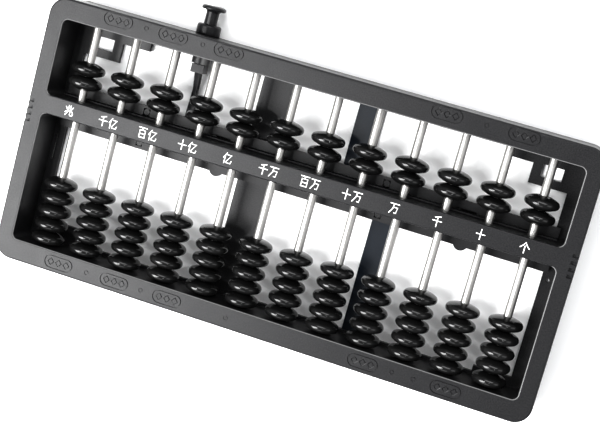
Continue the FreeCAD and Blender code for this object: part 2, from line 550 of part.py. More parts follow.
def make_bar(label, turned, pinions, posts, lobes=()):
    """A clearing bar: plate, rack arms and guide slots. +Y points away from the beam."""
    body = new_body(label, "0", "Layout.beam_mid", "0", turned)
    through = ("Layout.bar_low - Sizes.sink", "Layout.bar_top + Sizes.sink")
    inside = "Layout.bar_in - Sizes.sink"
    box(body, ("-Layout.bar_half", "Layout.bar_half"), ("Layout.bar_in", "Layout.bar_out"),
        ("Layout.bar_low", "Layout.bar_top"))
    for pitches in lobes:
        cylinder(body, "Sizes.lobe_dia / 2", "Sizes.bar_thick", f"{pitches} * Sizes.rod_pitch",
                 "Layout.bar_out - Sizes.lobe_dia / 2 + Sizes.lobe_out", "Layout.bar_low")
    for pitches in pinions:
        x = f"{pitches} * Sizes.rod_pitch"
        left = f"{x} - Layout.rack_arm - Sizes.mesh_gap"
        right = f"{x} + Layout.pitch_rad + Sizes.mesh_gap / 2"
        box(body, (left, right), (inside, "Layout.rack_end + Sizes.mesh_gap"), through, cut=True)
        box(body, (f"{x} + Layout.rack_root", f"{x} + Layout.rack_arm"),
            ("-Layout.rack_end", "Layout.bar_in + Sizes.sink"),
            ("Layout.bar_low", "Layout.bar_top - Sizes.rack_low"))
        teeth = new_sketch(body, "XY_Plane", "Layout.bar_low")
        tip = f"{x} + Layout.pitch_rad - Sizes.tooth_tip * Sizes.gear_module"
        root = f"{x} + Layout.rack_root + Sizes.rack_low"
        y = "Layout.tooth_pitch"
        draw_polygon(teeth, [(root, f"{y} - {FOOT}"), (root, f"{y} + {FOOT}"), (tip, f"{y} + {CREST}"),
                             (tip, f"{y} - {CREST}")])
        tooth = extrude(body, teeth, "Sizes.bar_thick - Sizes.rack_low")
        row = repeat(body, tooth, (datum(body, "Y_Axis"), [""]),
                     "(Sizes.rack_teeth - 1) * Layout.tooth_pitch", "Sizes.rack_teeth")
        row.Reversed = True
    half = "Sizes.post_dia / 2 + Sizes.post_play"
    for pitches in posts:
        x = f"{pitches} * Sizes.rod_pitch"
        box(body, (f"{x} - ({half})", f"{x} + {half}"), (inside, f"Layout.post_at + {half}"), through,
            cut=True)
    return body


def make_strip(label, turned):
    """The upright strip on a clearing bar that pushes the beads off the beam."""
    body = new_body(label, "0", "Layout.beam_mid", "0", turned)
    box(body, ("-Layout.bar_half", "Layout.bar_half"), ("Layout.fin_in", "Layout.fin_in + Sizes.fin_thick"),
        ("Layout.bar_top", "Layout.fin_top"))


def make_bars():
    make_bar("upper_reset_bar", False, PINION_PITCHES, POST_PITCHES)
    turned_pinions = [-pitches for pitches in PINION_PITCHES]
    lower = make_bar("lower_reset_bar", True, turned_pinions, [-pitches for pitches in POST_PITCHES],
                     turned_pinions)
    cylinder(lower, "Sizes.peg_dia / 2", "Sizes.bar_thick + 2 * Sizes.sink",
             "-Layout.button_x", "Layout.peg_at", "Layout.bar_low - Sizes.sink", cut=True)
    make_strip("upper_push_strip", False)
    make_strip("lower_push_strip", True)


def make_pinion(label, pitches):
    lift = "Layout.bar_low + Sizes.pinion_lift"
    body = new_body(label, f"{pitches} * Sizes.rod_pitch", "Layout.beam_mid", lift)
    thick = "Sizes.bar_thick - Sizes.rack_low - Sizes.pinion_lift"
    root = "Layout.pitch_rad - Sizes.pinion_foot * Sizes.gear_module"
    cylinder(body, root, thick)
    sketch = new_sketch(body, "XY_Plane")
    sunk, tip = f"{root} - Sizes.rack_low", "Layout.pitch_rad + Sizes.tooth_tip * Sizes.gear_module"
    draw_polygon(sketch, [(f"-{FOOT}", sunk), (FOOT, sunk), (CREST, tip), (f"-{CREST}", tip)])
    half_step = 180 / value("Sizes.pinion_teeth")
    sketch.AttachmentOffset = Placement(Vector(), Rotation(Vector(0, 0, 1), half_step))
    sketch.setExpression("AttachmentOffset.Rotation.Angle", "180 / Sizes.pinion_teeth")
    tooth = extrude(body, sketch, thick)
    ring = body.newObject("PartDesign::PolarPattern", f"{label}_ring")
    ring.Originals = [tooth]
    ring.Axis = (datum(body, "Z_Axis"), [""])
    ring.Angle = 360
    ring.setExpression("Occurrences", "Sizes.pinion_teeth")
    body.Tip = ring
    cylinder(body, "Sizes.pin_dia / 2 + Sizes.gear_play", "Sizes.bar_thick + 2 * Sizes.sink",
             z="-Sizes.sink", cut=True)


def make_pins():
    body = new_body("pinion_pins")
    for pitches in PINION_PITCHES:
        x = f"{pitches} * Sizes.rod_pitch"
        tall = "Layout.bar_top + Sizes.pin_head_thick / 2 - Sizes.pin_foot"
        cylinder(body, "Sizes.pin_dia / 2", tall, x, "Layout.beam_mid", "Sizes.pin_foot")
        cylinder(body, "Sizes.pin_head_dia / 2", "Sizes.pin_head_thick", x, "Layout.beam_mid",
                 "Layout.bar_top")


def make_button():
    """Head, stem, retaining flange and the thin guide that carries the spring, along +Y."""
    body = new_body("reset_button", "Layout.button_x", "Layout.wall_in", "Sizes.button_height")
    crown = "Sizes.outer_wall + Sizes.button_reach"
    under = f"{crown} - Sizes.head_thick"
    sketch = new_sketch(body, "XY_Plane")
    guide_low = "Layout.boss_end - Layout.wall_in - Sizes.guide_long"
    draw_polygon(sketch, [("0", guide_low), ("Layout.guide_rad", guide_low),
                          ("Layout.guide_rad", "Layout.flange_low"),
                          ("Layout.flange_rad", "Layout.flange_low"),
                          ("Layout.flange_rad", "-Sizes.flange_gap"),
                          ("Layout.stem_rad", "-Sizes.flange_gap"),
                          ("Layout.stem_rad", f"{under} - Sizes.neck"),
                          ("Layout.stem_rad + Sizes.neck", under),
                          ("Sizes.head_dia / 2 - Sizes.head_edge", under),
                          ("Sizes.head_dia / 2", f"{under} + Sizes.head_edge"),
                          ("Sizes.head_dia / 2", f"{crown} - Sizes.head_edge - Sizes.head_dome"),
                          ("Sizes.head_dia / 2 - Sizes.head_edge", f"{crown} - Sizes.head_dome"),
                          ("Sizes.head_dia / 4", crown), ("0", crown)])
    full_turn(body, sketch)


def make_collar():
    body = new_body("button_collar", "Layout.button_x", "Layout.half_wide", "Sizes.button_height")
    cylinder(body, "Sizes.collar_dia / 2", "Sizes.collar_long", along_y=True)
    doc.recompute()
    far = value("Sizes.collar_long")
    at_far_end = 1e-3
    round_edges(body, lambda edge: edge.BoundBox.YMin > far - at_far_end, "Sizes.collar_round")
    cylinder(body, "Sizes.spigot_dia / 2", "Sizes.outer_wall + Sizes.sink / 2", y="-Sizes.outer_wall",
             along_y=True)
    cylinder(body, "Layout.stem_rad + Sizes.stem_fit",
             "Sizes.collar_long + Sizes.outer_wall + 2 * Sizes.sink", y="-Sizes.outer_wall - Sizes.sink",
             along_y=True, cut=True)


def make_spring():
    """Return spring between the boss floor and the button's flange."""
    start = "Layout.boss_floor + Sizes.spring_seat + Sizes.spring_wire / 2"
    body = new_body("return_spring", "Layout.button_x", start, "Sizes.button_height")
    sketch = new_sketch(body, "XY_Plane")
    centre, wire = value("Layout.spring_rad"), value("Sizes.spring_wire / 2")
    sketch.addGeometry(Part.Circle(Vector(centre, 0, 0), Vector(0, 0, 1), wire))
    index = sketch.addConstraint(Sketcher.Constraint("Radius", 0, wire))
    sketch.setExpression(f"Constraints[{index}]", "Sizes.spring_wire / 2")
    hold(sketch, "DistanceX", 0, 3, "Layout.spring_rad")
    hold(sketch, "DistanceY", 0, 3, "0")
    coil = body.newObject("PartDesign::AdditiveHelix", "return_spring_coil")
    coil.Profile = sketch
    coil.ReferenceAxis = (sketch, ["V_Axis"])
    height_and_turns = 2
    coil.Mode = height_and_turns
    room = "Layout.wall_in + Layout.flange_low - Layout.boss_floor"
    bind(coil, Height=f"{room} - 2 * Sizes.spring_seat - Sizes.spring_wire", Turns="Sizes.spring_turns")


def make_push_arm():
    """From the guide's end, a rib comes down to a flat strip that runs under the upper bar."""
    body = new_body("push_arm", "Layout.button_x", "0", "0")
    low, top, foot = "Layout.arm_low", "Layout.arm_top", "Layout.rib_foot"
    box(body, ("-Layout.block_half", "Layout.block_half"),
        ("Layout.block_top - Sizes.block_long", "Layout.block_top"),
        (low, "Sizes.button_height + Layout.block_half"))
    cylinder(body, "Layout.guide_rad", "Sizes.guide_long + Sizes.sink",
             y="Layout.boss_end - Sizes.guide_long", z="Sizes.button_height", along_y=True, cut=True)
    rib = new_sketch(body, "YZ_Plane")
    draw_polygon(rib, [(foot, low), ("Layout.rib_top", low),
                       ("Layout.rib_top", "Sizes.button_height + Layout.guide_rad"), (foot, top)])
    extrude(body, rib, "Sizes.rib_thick", midplane=True)
    strip = new_sketch(body, "XY_Plane", low)
    end = "Layout.beam_low - Sizes.bar_reach / 2"
    wide, thin = "Sizes.arm_width / 2", "Sizes.rib_thick / 2"
    draw_polygon(strip, [(f"-{wide}", end), (wide, end), (wide, "Layout.beam_top"), (thin, "Layout.rib_top"),
                         (f"-{thin}", "Layout.rib_top"), (f"-{wide}", "Layout.beam_top")])
    extrude(body, strip, "Sizes.arm_thick")
    cylinder(body, "Sizes.peg_dia / 2", "Layout.bar_top - Layout.arm_low",
             y="Layout.beam_mid - Layout.peg_at", z=low)


def write_parts():
    doc.recompute()
    broken = [item.Name for item in doc.Objects if {"Invalid", "Error"} & set(item.State)]
    broken += [body.Label for body in nodes if body.Shape.isNull() or not body.Shape.isValid()]
    if broken:
        raise RuntimeError(f"not built: {broken}")
    os.makedirs("parts", exist_ok=True)
    for body in nodes:
        body.Shape.exportStep(f"parts/{body.Label}.step")
        print(f"{body.Label}: {len(body.Shape.Solids)} solids, {body.Shape.Volume:.1f} mm3")


make_front_frame()
make_back_frame()
make_straps()
make_screws()
make_rods()
make_beads()
make_bars()
for side, pinion_pitches in zip(("left", "right"), PINION_PITCHES):
    make_pinion(f"pinion_{side}", pinion_pitches)
make_pins()
make_button()
make_collar()
make_spring()
make_push_arm()
write_parts()
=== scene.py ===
# %% [markdown]
# # A twelve-rod abacus with a clearing button
#
# The object is a flat plastic frame with a crossbeam, twelve metal rods, seven lens-shaped beads on
# each rod, and a sprung button that sweeps all the beads off the beam. The CAD model already holds
# every size and every joint. Here we only make it look real, so the first thing we do is load that
# model and leave it exactly where it stands.

# %% load the frame
import math

import bmesh
import bpy
from mathutils import Matrix, Vector


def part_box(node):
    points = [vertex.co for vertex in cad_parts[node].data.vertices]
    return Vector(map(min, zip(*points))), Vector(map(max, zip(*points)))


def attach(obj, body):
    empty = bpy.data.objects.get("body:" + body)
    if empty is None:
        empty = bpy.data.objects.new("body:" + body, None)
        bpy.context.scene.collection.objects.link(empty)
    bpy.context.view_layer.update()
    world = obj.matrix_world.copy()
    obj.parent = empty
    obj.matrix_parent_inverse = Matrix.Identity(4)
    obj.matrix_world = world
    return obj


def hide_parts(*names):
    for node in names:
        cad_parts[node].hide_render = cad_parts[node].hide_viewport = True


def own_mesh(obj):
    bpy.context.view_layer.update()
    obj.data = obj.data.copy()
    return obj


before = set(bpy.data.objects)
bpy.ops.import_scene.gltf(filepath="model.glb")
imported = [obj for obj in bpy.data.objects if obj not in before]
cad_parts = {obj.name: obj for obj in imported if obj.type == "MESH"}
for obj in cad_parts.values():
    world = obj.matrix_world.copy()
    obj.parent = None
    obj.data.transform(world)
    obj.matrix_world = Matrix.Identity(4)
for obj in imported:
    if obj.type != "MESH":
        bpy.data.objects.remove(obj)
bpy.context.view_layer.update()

MM = 0.001

# %% [markdown]
# ## Lines that everything lines up with
#
# Blender pieces must fit the CAD pieces, so no place is typed in twice. We read the boxes of a few
# nodes and work out the rest: where the rods stand, where the beam's edges run and how high the face
# of the frame is. X runs along the row of rods, Y away from the user, Z up out of the face.

# %% read the main lines
frame_low, frame_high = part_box("front_frame")
face_z = frame_high.z
frame_x = (frame_low.x + frame_high.x) / 2
frame_y = (frame_low.y + frame_high.y) / 2
rod_count = sum(name.startswith("lower_beads_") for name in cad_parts)


def middle(node):
    low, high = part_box(node)
    return (low + high) / 2


def size(node):
    low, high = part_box(node)
    return high - low


rod_xs = [middle(f"lower_beads_{number:02d}").x for number in range(1, rod_count + 1)]
rod_step = rod_xs[1] - rod_xs[0]
rod_z = middle("rods").z
strip_gap = 0.15 * MM
beam_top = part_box("upper_push_strip")[0].y - strip_gap
beam_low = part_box("lower_push_strip")[1].y + strip_gap
beam_y = (beam_top + beam_low) / 2
upper_deck_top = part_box("rods")[1].y
print("rods", rod_count, "step mm", round(rod_step / MM, 2))
print("beam mm", round((beam_top - beam_low) / MM, 2))

# %% [markdown]
# ## Camera, table and light
#
# The abacus lies flat and is seen from nearly straight above. The camera hangs over its upper right
# part, looks back towards the middle, and is turned so that the frame lies askew. The table is a large
# white sheet. Two small lamps beside the camera give each glossy bead its pair of small glints. Broad
# panels give the grey sheen: the one on the ceiling stands to the left, so the left of the frame's face
# mirrors it and looks paler than the right. A second one behind the frame whitens the table seen
# through the windows, and low panels at two sides light the windows' rims. A display gamma a little
# under 1 deepens the dark tones and leaves the white table white.

# %% camera
sensor_width = 36.0
focal_length = 81.1
nearest_seen = 10 * MM
camera_place = Vector((128.1, 92.7, 629.1)) * MM
camera_aim = Vector((7.9, -7.5, 24.0)) * MM
camera_turn = math.radians(-15.4)

camera_data = bpy.data.cameras.new("overhead")
camera_data.sensor_width = sensor_width
camera_data.lens = focal_length
camera_data.clip_start = nearest_seen
camera = bpy.data.objects.new("overhead", camera_data)
bpy.context.scene.collection.objects.link(camera)
back = (camera_place - camera_aim).normalized()
right = Vector((math.sin(camera_turn), math.cos(camera_turn), 0)).cross(back).normalized()
up = back.cross(right)
camera.matrix_world = Matrix.LocRotScale(camera_place, Matrix((right, up, back)).transposed(), None)
bpy.context.scene.camera = camera
print("camera height over the face, mm", round((camera_place.z - face_z) / MM))

# %% [markdown]
# A helper for colour comes first, because the table needs it too. Every finish here is a Principled
# shader. Its colour is never one flat value: a noise texture in the object's own coordinates moves it
# between two close shades, and finer noise bumps the surface. Object coordinates are in metres, so a
# noise scale of 1 / 0.6 mm gives grains about 0.6 mm across.

# %% helpers for finishes


def new_finish(name, roughness, metallic=0.0, specular=0.5, coat=0.0, coat_roughness=0.05):
    """A Principled material; the sockets that stay constant are set on the shader itself."""
    finish = bpy.data.materials.new(name)
    finish.use_nodes = True
    shader = finish.node_tree.nodes["Principled BSDF"]
    shader.inputs["Roughness"].default_value = roughness
    shader.inputs["Metallic"].default_value = metallic
    shader.inputs["Specular IOR Level"].default_value = specular
    shader.inputs["Coat Weight"].default_value = coat
    shader.inputs["Coat Roughness"].default_value = coat_roughness
    return finish, finish.node_tree, shader


def noise(tree, grain, stretch=(1, 1, 1), detail=3.0):
    """Noise whose grains measure about 'grain' metres; stretch below 1 draws them out along an axis."""
    coords = tree.nodes.new("ShaderNodeTexCoord")
    mapping = tree.nodes.new("ShaderNodeMapping")
    mapping.inputs["Scale"].default_value = stretch
    texture = tree.nodes.new("ShaderNodeTexNoise")
    texture.inputs["Scale"].default_value = 1 / grain
    texture.inputs["Detail"].default_value = detail
    tree.links.new(coords.outputs["Object"], mapping.inputs["Vector"])
    tree.links.new(mapping.outputs["Vector"], texture.inputs["Vector"])
    return texture.outputs["Fac"]


def between(tree, factor, dark, light, low=0.35, high=0.65):
    """A colour that moves between two shades as the factor goes from low to high."""
    ramp = tree.nodes.new("ShaderNodeValToRGB")
    ramp.color_ramp.elements[0].position = low
    ramp.color_ramp.elements[1].position = high
    ramp.color_ramp.elements[0].color = (*dark, 1)
    ramp.color_ramp.elements[1].color = (*light, 1)
    tree.links.new(factor, ramp.inputs["Fac"])
    return ramp.outputs["Color"]


def spread(tree, factor, low, high):
    """Stretch a factor of 0 to 1 over the range from low to high."""
    node = tree.nodes.new("ShaderNodeMapRange")
    node.inputs["To Min"].default_value = low
    node.inputs["To Max"].default_value = high
    tree.links.new(factor, node.inputs["Value"])
    return node.outputs["Result"]


def bump(tree, shader, factor, depth):
    """Tilt the shaded surface as if the factor raised it by up to 'depth' metres."""
    node = tree.nodes.new("ShaderNodeBump")
    node.inputs["Distance"].default_value = depth
    node.inputs["Strength"].default_value = 1.0
    tree.links.new(factor, node.inputs["Height"])
    tree.links.new(node.outputs["Normal"], shader.inputs["Normal"])


# %% table and lamps
table_half = 6.0
table_corners = [(-table_half, -table_half, 0), (table_half, -table_half, 0),
                 (table_half, table_half, 0), (-table_half, table_half, 0)]
table_mesh = bpy.data.meshes.new("table")
table_mesh.from_pydata(table_corners, [], [(0, 1, 2, 3)])
table = bpy.data.objects.new("table", table_mesh)
bpy.context.scene.collection.objects.link(table)
paper_patch = 300 * MM
paper, paper_tree, paper_shader = new_finish("white_paper", 0.7, specular=0.2)
paper_colour = between(paper_tree, noise(paper_tree, paper_patch), (0.94, 0.94, 0.94), (0.96, 0.96, 0.96))
paper_tree.links.new(paper_colour, paper_shader.inputs["Base Color"])
table_mesh.materials.append(paper)


def panel(name, place, width, depth, watts):
    """A rectangular lamp that faces the middle of the object."""
    lamp = bpy.data.lights.new(name, "AREA")
    lamp.shape = "RECTANGLE"
    lamp.size = width
    lamp.size_y = depth
    lamp.energy = watts
    holder = bpy.data.objects.new(name, lamp)
    bpy.context.scene.collection.objects.link(holder)
    holder.location = place
    holder.rotation_euler = (-Vector(place)).to_track_quat("-Z", "Y").to_euler()


# Each row: name, place, width and depth in metres, watts.
LAMPS = (
    ("left_lamp", (-0.26, -0.04, 0.95), 0.055, 0.035, 1.5),
    ("right_lamp", (0.40, -0.12, 0.95), 0.045, 0.03, 0.8),
    ("ceiling", (-1.05, -0.55, 1.5), 1.1, 1.2, 95.0),
    ("far_ceiling", (0.25, 0.95, 1.5), 1.8, 0.8, 28.0),
    ("user_side", (-0.3, -1.4, 1.1), 1.6, 0.8, 11.0),
    ("right_side", (1.4, -0.1, 0.9), 0.9, 0.8, 5.0),
)
for lamp_row in LAMPS:
    panel(*lamp_row)

room_colour = (0.95, 0.97, 1.0, 1)
room_strength = 0.42
world = bpy.data.worlds.new("room")
world.use_nodes = True
room_light = world.node_tree.nodes["Background"]
room_light.inputs["Color"].default_value = room_colour
room_light.inputs["Strength"].default_value = room_strength
bpy.context.scene.world = world
bpy.context.scene.view_settings.view_transform = "Standard"
bpy.context.scene.view_settings.gamma = 0.8

# %% [markdown]
# ## Finishes
#
# The frame, button and bars are moulded in dark plastic. The frame's mould was spark-eroded, so its
# face has a fine even grain that scatters light, and it looks charcoal rather than black. The rounded
# rims of its windows carry a painted highlight, a paler colour, and are made smoother. The mask for
# that reads the surface's direction: it is strong where the surface leans between flat and upright and
# faces the middle. The beads come from a polished mould: almost black, with a clear gloss and a very
# slight waviness that breaks each glint. The rods are drawn aluminium, so their fine lines run lengthwise.

# %% where the frame's rims carry a painted highlight


# This mask marks the window rims that get a painted highlight, a paler colour, and a smoother finish.
def rounded_edge_mask(tree):
    """1 where the surface leans between flat and upright and faces the middle, as the windows' rims do."""
    coords = tree.nodes.new("ShaderNodeTexCoord")
    parts = tree.nodes.new("ShaderNodeSeparateXYZ")
    lean = tree.nodes.new("ShaderNodeValToRGB")
    outward = tree.nodes.new("ShaderNodeVectorMath")
    facing = tree.nodes.new("ShaderNodeVectorMath")
    inward = tree.nodes.new("ShaderNodeMath")
    both = tree.nodes.new("ShaderNodeMath")
    stops = lean.color_ramp.elements
    stops[0].position = 0.30
    stops[0].color = (0, 0, 0, 1)
    stops[1].position = 0.55
    stops[1].color = (1, 1, 1, 1)
    for position, shade in ((0.88, 1), (0.97, 0)):
        stops.new(position).color = (shade, shade, shade, 1)
    outward.operation = "SUBTRACT"
    outward.inputs[1].default_value = (frame_x, frame_y, 0)
    facing.operation = "DOT_PRODUCT"
    inward.operation = "LESS_THAN"
    inward.inputs[1].default_value = 0
    both.operation = "MULTIPLY"
    tree.links.new(coords.outputs["Normal"], parts.inputs["Vector"])
    tree.links.new(parts.outputs["Z"], lean.inputs["Fac"])
    tree.links.new(coords.outputs["Object"], outward.inputs[0])
    tree.links.new(outward.outputs["Vector"], facing.inputs[0])
    tree.links.new(coords.outputs["Normal"], facing.inputs[1])
    tree.links.new(facing.outputs["Value"], inward.inputs[0])
    tree.links.new(inward.outputs["Value"], both.inputs[0])
    tree.links.new(lean.outputs["Color"], both.inputs[1])
    return both.outputs["Value"]


def mixed(tree, factor, usual, special, kind):
    """The usual value where the factor is 0, the special one where it is 1."""
    node = tree.nodes.new("ShaderNodeMix")
    node.data_type = kind
    node.inputs["B"].default_value = special
    tree.links.new(factor, node.inputs["Factor"])
    tree.links.new(usual, node.inputs["A"])
    return node.outputs["Result"]


# %% moulded plastics
mould_grain = 0.6 * MM
sheen_patch = 9 * MM
plastic_specular = 0.24
rim_roughness = 0.2


def moulded(name, dark, light, roughness, depth, painted_rim_highlight=None):
    """Grained plastic; the optional paler colour is a painted highlight on rounded rims, which are also
    made smoother.
    """
    finish, tree, shader = new_finish(name, roughness, specular=plastic_specular)
    colour = between(tree, noise(tree, mould_grain, detail=2.0), dark, light, 0.3, 0.7)
    gloss = spread(tree, noise(tree, sheen_patch), roughness - 0.05, roughness + 0.06)
    bump(tree, shader, noise(tree, mould_grain, detail=2.0), depth)
    # A paler colour painted on the rims stands for a highlight; the rims are also made smoother.
    if painted_rim_highlight:
        edge = rounded_edge_mask(tree)
        colour = mixed(tree, edge, colour, (*painted_rim_highlight, 1), "RGBA")
        gloss = mixed(tree, edge, gloss, rim_roughness, "FLOAT")
    tree.links.new(colour, shader.inputs["Base Color"])
    tree.links.new(gloss, shader.inputs["Roughness"])
    return finish


# The frame's last colour is a painted highlight on its rounded window rims.
frame_finish = moulded("textured_charcoal", (0.006, 0.006, 0.007), (0.020, 0.020, 0.021), 0.35,
                       depth=0.032 * MM, painted_rim_highlight=(0.16, 0.16, 0.16))
button_finish = moulded("button_black", (0.006, 0.006, 0.007), (0.010, 0.010, 0.011), 0.34,
                        depth=0.008 * MM)
bar_finish = moulded("bar_grey_black", (0.009, 0.009, 0.010), (0.014, 0.014, 0.015), 0.38,
                     depth=0.010 * MM)
strap_finish = moulded("strap_blue_black", (0.004, 0.007, 0.012), (0.007, 0.012, 0.020), 0.30,
                       depth=0.006 * MM)
gear_finish = moulded("acetal_white", (0.70, 0.69, 0.64), (0.80, 0.79, 0.74), 0.36,
                      depth=0.006 * MM)

# %% bead gloss
bead_shade_patch = 12 * MM
bead_gloss_patch = 2.5 * MM
bead_wave, bead_wave_depth = 1.6 * MM, 0.03 * MM
bead_finish, bead_tree, bead_shader = new_finish("bead_gloss", 0.16, specular=0.34, coat=0.10,
                                                 coat_roughness=0.06)
bead_colour = between(bead_tree, noise(bead_tree, bead_shade_patch), (0.005, 0.005, 0.005),
                      (0.010, 0.010, 0.010))
bead_roughness = spread(bead_tree, noise(bead_tree, bead_gloss_patch), 0.12, 0.22)
bead_tree.links.new(bead_colour, bead_shader.inputs["Base Color"])
bead_tree.links.new(bead_roughness, bead_shader.inputs["Roughness"])
bump(bead_tree, bead_shader, noise(bead_tree, bead_wave), bead_wave_depth)
print("plastics", [item.name for item in bpy.data.materials])

# %% metals and ink
line_grain = 0.3 * MM
line_depth = 0.0008 * MM


def drawn_metal(name, dark, light, roughness, along):
    """Bare metal whose fine marks are drawn out along the axis with the small number."""
    finish, tree, shader = new_finish(name, roughness, metallic=1.0)
    lines = noise(tree, line_grain, along)
    tree.links.new(between(tree, lines, dark, light), shader.inputs["Base Color"])
    tree.links.new(spread(tree, lines, roughness - 0.03, roughness + 0.05), shader.inputs["Roughness"])
    bump(tree, shader, lines, line_depth)
    return finish


rod_finish = drawn_metal("drawn_aluminium", (0.34, 0.335, 0.325), (0.44, 0.435, 0.425), 0.42,
                         along=(1, 0.01, 1))
steel_finish = drawn_metal("zinc_steel", (0.42, 0.42, 0.43), (0.58, 0.58, 0.60), 0.32, along=(1, 1, 1))

ink_patch, ink_grain, ink_grain_depth = 0.5 * MM, 0.2 * MM, 0.01 * MM
ink_finish, ink_tree, ink_shader = new_finish("white_ink", 0.5)
ink_colour = between(ink_tree, noise(ink_tree, ink_patch), (0.70, 0.70, 0.69), (0.86, 0.86, 0.85))
ink_tree.links.new(ink_colour, ink_shader.inputs["Base Color"])
bump(ink_tree, ink_shader, noise(ink_tree, ink_grain), ink_grain_depth)
print("finishes", len(bpy.data.materials))

# %% [markdown]
# ## Shaping tools
#
# Most small parts of an abacus are turned or round: beads, rods, screws, the button. Blender has
# primitives for these, but a primitive has dead sharp corners. We write the outline as a few points,
# soften its corners with short curves, and turn it round an axis. A ring such as a bead has a closed
# outline; a solid such as a rod starts and ends on the axis, where all copies of a point are one pole.

# %% outline and lathe
corner_share = 2.05  # a little over 2, so that the curves at the two ends of a side never meet
nearly_zero = 1e-9


def soften(corners, radius, steps=4):
    """Replace the inner corners of an outline by short curves that start 'radius' away from them."""
    points = [Vector(corners[0])]
    for before, here, after in zip(corners, corners[1:], corners[2:]):
        here, before, after = Vector(here), Vector(before), Vector(after)
        shorter_side = min((before - here).length, (after - here).length)
        cut = min(radius, shorter_side / corner_share)
        start = here + (before - here).normalized() * cut
        stop = here + (after - here).normalized() * cut
        for step in range(steps + 1):
            share = step / steps
            points.append(start * (1 - share) ** 2 + here * 2 * share * (1 - share) + stop * share ** 2)
    points.append(Vector(corners[-1]))
    return points


def put_in_scene(name, mesh):
    piece = bpy.data.objects.new(name, mesh)
    bpy.context.scene.collection.objects.link(piece)
    return piece


def smooth_shade(mesh, angle=35):
    for face in mesh.polygons:
        face.use_smooth = True
    mesh.set_sharp_from_angle(angle=math.radians(angle))


def lathe(name, outline, axis="Y", segments=64, closed=False):
    """Turn (radius, along) points round an axis through the origin."""
    shape = bmesh.new()
    rings = []
    for radius, along in outline:
        ring = []
        for step in range(1 if radius < nearly_zero else segments):
            turn = 2 * math.pi * step / segments
            across = (radius * math.cos(turn), radius * math.sin(turn))
            place = (across[0], along, across[1]) if axis == "Y" else (across[0], across[1], along)
            ring.append(shape.verts.new(place))
        rings.append(ring)
    for first, second in zip(rings, rings[1:] + (rings[:1] if closed else [])):
        for step in range(segments):
            corners = [first[step % len(first)], first[(step + 1) % len(first)],
                       second[(step + 1) % len(second)], second[step % len(second)]]
            unique = list(dict.fromkeys(corners))
            if len(unique) > 2:
                shape.faces.new(unique)
    bmesh.ops.recalc_face_normals(shape, faces=shape.faces)
    mesh = bpy.data.meshes.new(name)
    shape.to_mesh(mesh)
    shape.free()
    smooth_shade(mesh)
    return put_in_scene(name, mesh)


def keep_result(piece):
    """Make the modifiers' result the piece's own mesh."""
    graph = bpy.context.evaluated_depsgraph_get()
    mesh = bpy.data.meshes.new_from_object(piece.evaluated_get(graph))
    piece.modifiers.clear()
    piece.data = mesh
    return piece


def report(piece):
    """Print how large the finished mesh is, and how many edges don't join exactly two faces."""
    graph = bpy.context.evaluated_depsgraph_get()
    shape = bmesh.new()
    shape.from_mesh(piece.evaluated_get(graph).to_mesh())
    open_edges = sum(len(edge.link_faces) != 2 for edge in shape.edges)
    print(f"{piece.name}: {len(shape.faces)} faces, {open_edges} open edges")
    shape.free()


def place_on(piece, body, slot, *nodes):
    """Attach the piece to its body, hide the CAD nodes it stands for, and print a report; 'slot' is not
    used.
    """
    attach(piece, body)
    if nodes:
        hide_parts(*nodes)
    report(piece)
    return piece


# %% [markdown]
# ## Repeating with Geometry Nodes
#
# Twelve rods, eighty-four beads and six screws are the same few shapes in rows. One node tree does all
# of them: it makes a grid of points, puts a copy of the shape on each, and can tip every copy a little
# at random and turn it about the rod, because beads with play on a rod never sit perfectly square. The
# seed is fixed, so they lie the same way each time. Realize Instances turns the copies into real mesh.

# %% the row tree


def new_tree(name, inputs):
    tree = bpy.data.node_groups.new(name, "GeometryNodeTree")
    tree.interface.new_socket("Geometry", in_out="INPUT", socket_type="NodeSocketGeometry")
    for label, kind in inputs:
        tree.interface.new_socket(label, in_out="INPUT", socket_type=f"NodeSocket{kind}")
    tree.interface.new_socket("Geometry", in_out="OUTPUT", socket_type="NodeSocketGeometry")
    return tree, tree.nodes.new("NodeGroupInput"), tree.nodes.new("NodeGroupOutput")


def finish_tree(tree, geometry, inputs, output):
    """Every tree ends alike: copies made real, then the finish set."""
    real = tree.nodes.new("GeometryNodeRealizeInstances")
    finish = tree.nodes.new("GeometryNodeSetMaterial")
    tree.links.new(geometry, real.inputs["Geometry"])
    tree.links.new(real.outputs["Geometry"], finish.inputs["Geometry"])
    tree.links.new(inputs.outputs["Finish"], finish.inputs["Material"])
    tree.links.new(finish.outputs["Geometry"], output.inputs["Geometry"])


